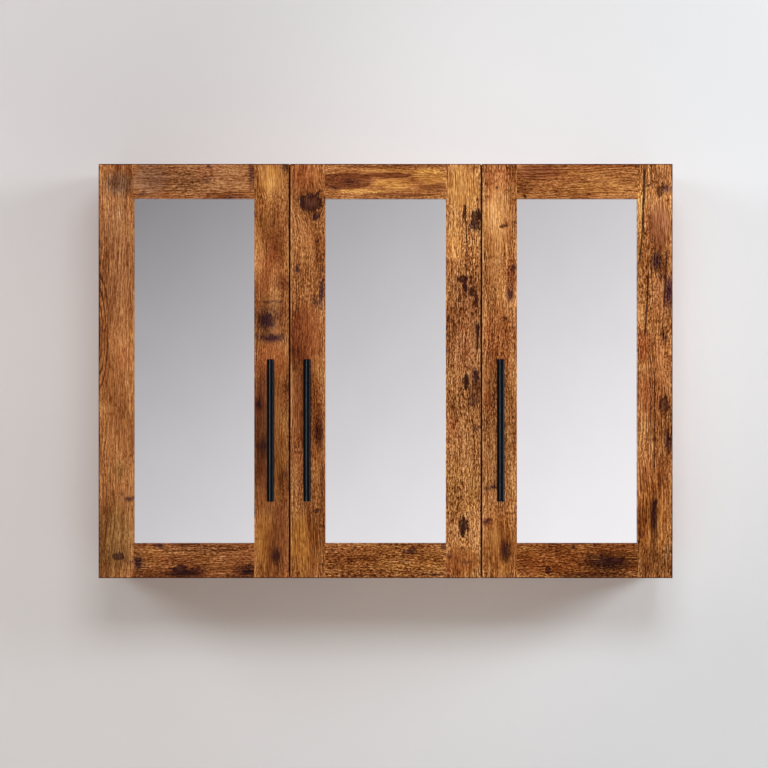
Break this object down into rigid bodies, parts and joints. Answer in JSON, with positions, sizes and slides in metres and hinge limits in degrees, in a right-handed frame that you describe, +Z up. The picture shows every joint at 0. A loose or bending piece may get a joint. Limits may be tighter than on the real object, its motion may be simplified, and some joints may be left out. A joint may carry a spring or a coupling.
{
  "type": "bathroom mirror cabinet",
  "caption": "Wall-hung bathroom cabinet in brown wood: framed mirror doors on cup hinges, round black bar handles, divided case with shelves.",
  "frame": {"origin": "middle of the back plane, at the centre of the four wall screw holes", "axes": "+X to the right seen from the front, +Z up, the doors face -Y"},
  "size_m": [0.9, 0.186, 0.65],
  "materials": {
    "carcass_board": "wood-grain melamine board, satin",
    "back_board": "thin fibreboard with a pale wood print",
    "door_wood": "rustic brown wood with knots and cracks, satin",
    "mirror_glass": "silvered glass, polished",
    "backing_fibreboard": "brown hardboard, matt",
    "handle_black": "black powder coat, satin",
    "hinge_nickel": "nickel-plated steel",
    "screw_steel": "zinc-plated steel",
    "dowel_beech": "plain beech",
    "dowel_and_cam": "zinc cams, steel bolts and beech dowels",
    "bumper_soft": "soft clear plastic dots"
  },
  "bodies": {
    "cabinet": {"left_side_panel": "carcass_board", "right_side_panel": "carcass_board", "divider_panel": "carcass_board", "top_panel": "carcass_board", "bottom_panel": "carcass_board", "back_panel": "back_board", "upper_hanging_rail": "carcass_board", "lower_hanging_rail": "carcass_board", "wide_shelf_upper": "carcass_board", "wide_shelf_lower": "carcass_board", "narrow_shelf_upper": "carcass_board", "narrow_shelf_lower": "carcass_board", "shelf_pins": "screw_steel", "hinge_arms": "hinge_nickel", "hinge_plates": "hinge_nickel", "hinge_plate_screws": "screw_steel", "carcass_fittings": "dowel_and_cam", "door_bumpers": "bumper_soft"},
    "left_door_outer_link": {"left_door_outer_links": "hinge_nickel"},
    "left_door": {"left_door_hinge_stile": "door_wood", "left_door_handle_stile": "door_wood", "left_door_top_rail": "door_wood", "left_door_bottom_rail": "door_wood", "left_door_mirror": "mirror_glass", "left_door_backing_board": "backing_fibreboard", "left_door_mirror_clips": "screw_steel", "left_door_frame_dowels": "dowel_beech", "left_door_handle_bar": "handle_black", "left_door_handle_posts": "handle_black", "left_door_screws": "screw_steel", "left_door_hinge_cups": "hinge_nickel"},
    "left_door_inner_link": {"left_door_inner_links": "hinge_nickel"},
    "middle_door_outer_link": {"middle_door_outer_links": "hinge_nickel"},
    "middle_door": {"middle_door_hinge_stile": "door_wood", "middle_door_handle_stile": "door_wood", "middle_door_top_rail": "door_wood", "middle_door_bottom_rail": "door_wood", "middle_door_mirror": "mirror_glass", "middle_door_backing_board": "backing_fibreboard", "middle_door_mirror_clips": "screw_steel", "middle_door_frame_dowels": "dowel_beech", "middle_door_handle_bar": "handle_black", "middle_door_handle_posts": "handle_black", "middle_door_screws": "screw_steel", "middle_door_hinge_cups": "hinge_nickel"},
    "middle_door_inner_link": {"middle_door_inner_links": "hinge_nickel"},
    "right_door_outer_link": {"right_door_outer_links": "hinge_nickel"},
    "right_door": {"right_door_hinge_stile": "door_wood", "right_door_handle_stile": "door_wood", "right_door_top_rail": "door_wood", "right_door_bottom_rail": "door_wood", "right_door_mirror": "mirror_glass", "right_door_backing_board": "backing_fibreboard", "right_door_mirror_clips": "screw_steel", "right_door_frame_dowels": "dowel_beech", "right_door_handle_bar": "handle_black", "right_door_handle_posts": "handle_black", "right_door_screws": "screw_steel", "right_door_hinge_cups": "hinge_nickel"},
    "right_door_inner_link": {"right_door_inner_links": "hinge_nickel"}
  },
  "joints": [
    {"name": "left_outer_link_pivot", "type": "hinge", "parent": "cabinet", "child": "left_door_outer_link", "pos_m": [-0.4255, -0.123, 0], "axis": [0, 0, -1], "range_deg": [-16.1, 0]},
    {"name": "left_door_swing", "type": "hinge", "parent": "left_door_outer_link", "child": "left_door", "pos_m": [-0.4412, -0.1415, 0], "axis": [0, 0, -1], "range_deg": [0, 116]},
    {"name": "left_inner_link_pivot", "type": "hinge", "parent": "left_door", "child": "left_door_inner_link", "pos_m": [-0.4418, -0.1378, 0], "axis": [0, 0, -1], "range_deg": [-120.1, 0]},
    {"name": "middle_outer_link_pivot", "type": "hinge", "parent": "cabinet", "child": "middle_door_outer_link", "pos_m": [0.1255, -0.123, 0], "axis": [0, 0, 1], "range_deg": [-16.1, 0]},
    {"name": "middle_door_swing", "type": "hinge", "parent": "middle_door_outer_link", "child": "middle_door", "pos_m": [0.1412, -0.1415, 0], "axis": [0, 0, 1], "range_deg": [0, 116]},
    {"name": "middle_inner_link_pivot", "type": "hinge", "parent": "middle_door", "child": "middle_door_inner_link", "pos_m": [0.1418, -0.1378, 0], "axis": [0, 0, 1], "range_deg": [-120.1, 0]},
    {"name": "right_outer_link_pivot", "type": "hinge", "parent": "cabinet", "child": "right_door_outer_link", "pos_m": [0.4255, -0.123, 0], "axis": [0, 0, 1], "range_deg": [-16.1, 0]},
    {"name": "right_door_swing", "type": "hinge", "parent": "right_door_outer_link", "child": "right_door", "pos_m": [0.4412, -0.1415, 0], "axis": [0, 0, 1], "range_deg": [0, 116]},
    {"name": "right_inner_link_pivot", "type": "hinge", "parent": "right_door", "child": "right_door_inner_link", "pos_m": [0.4418, -0.1378, 0], "axis": [0, 0, 1], "range_deg": [-120.1, 0]}
  ],
  "couplings": [
    {"joint": "left_outer_link_pivot", "follows": "left_door_swing", "ratio": -0.13793},
    {"joint": "left_inner_link_pivot", "follows": "left_door_swing", "ratio": -1.0345},
    {"joint": "middle_outer_link_pivot", "follows": "middle_door_swing", "ratio": -0.13793},
    {"joint": "middle_inner_link_pivot", "follows": "middle_door_swing", "ratio": -1.0345},
    {"joint": "right_outer_link_pivot", "follows": "right_door_swing", "ratio": -0.13793},
    {"joint": "right_inner_link_pivot", "follows": "right_door_swing", "ratio": -1.0345}
  ]
}
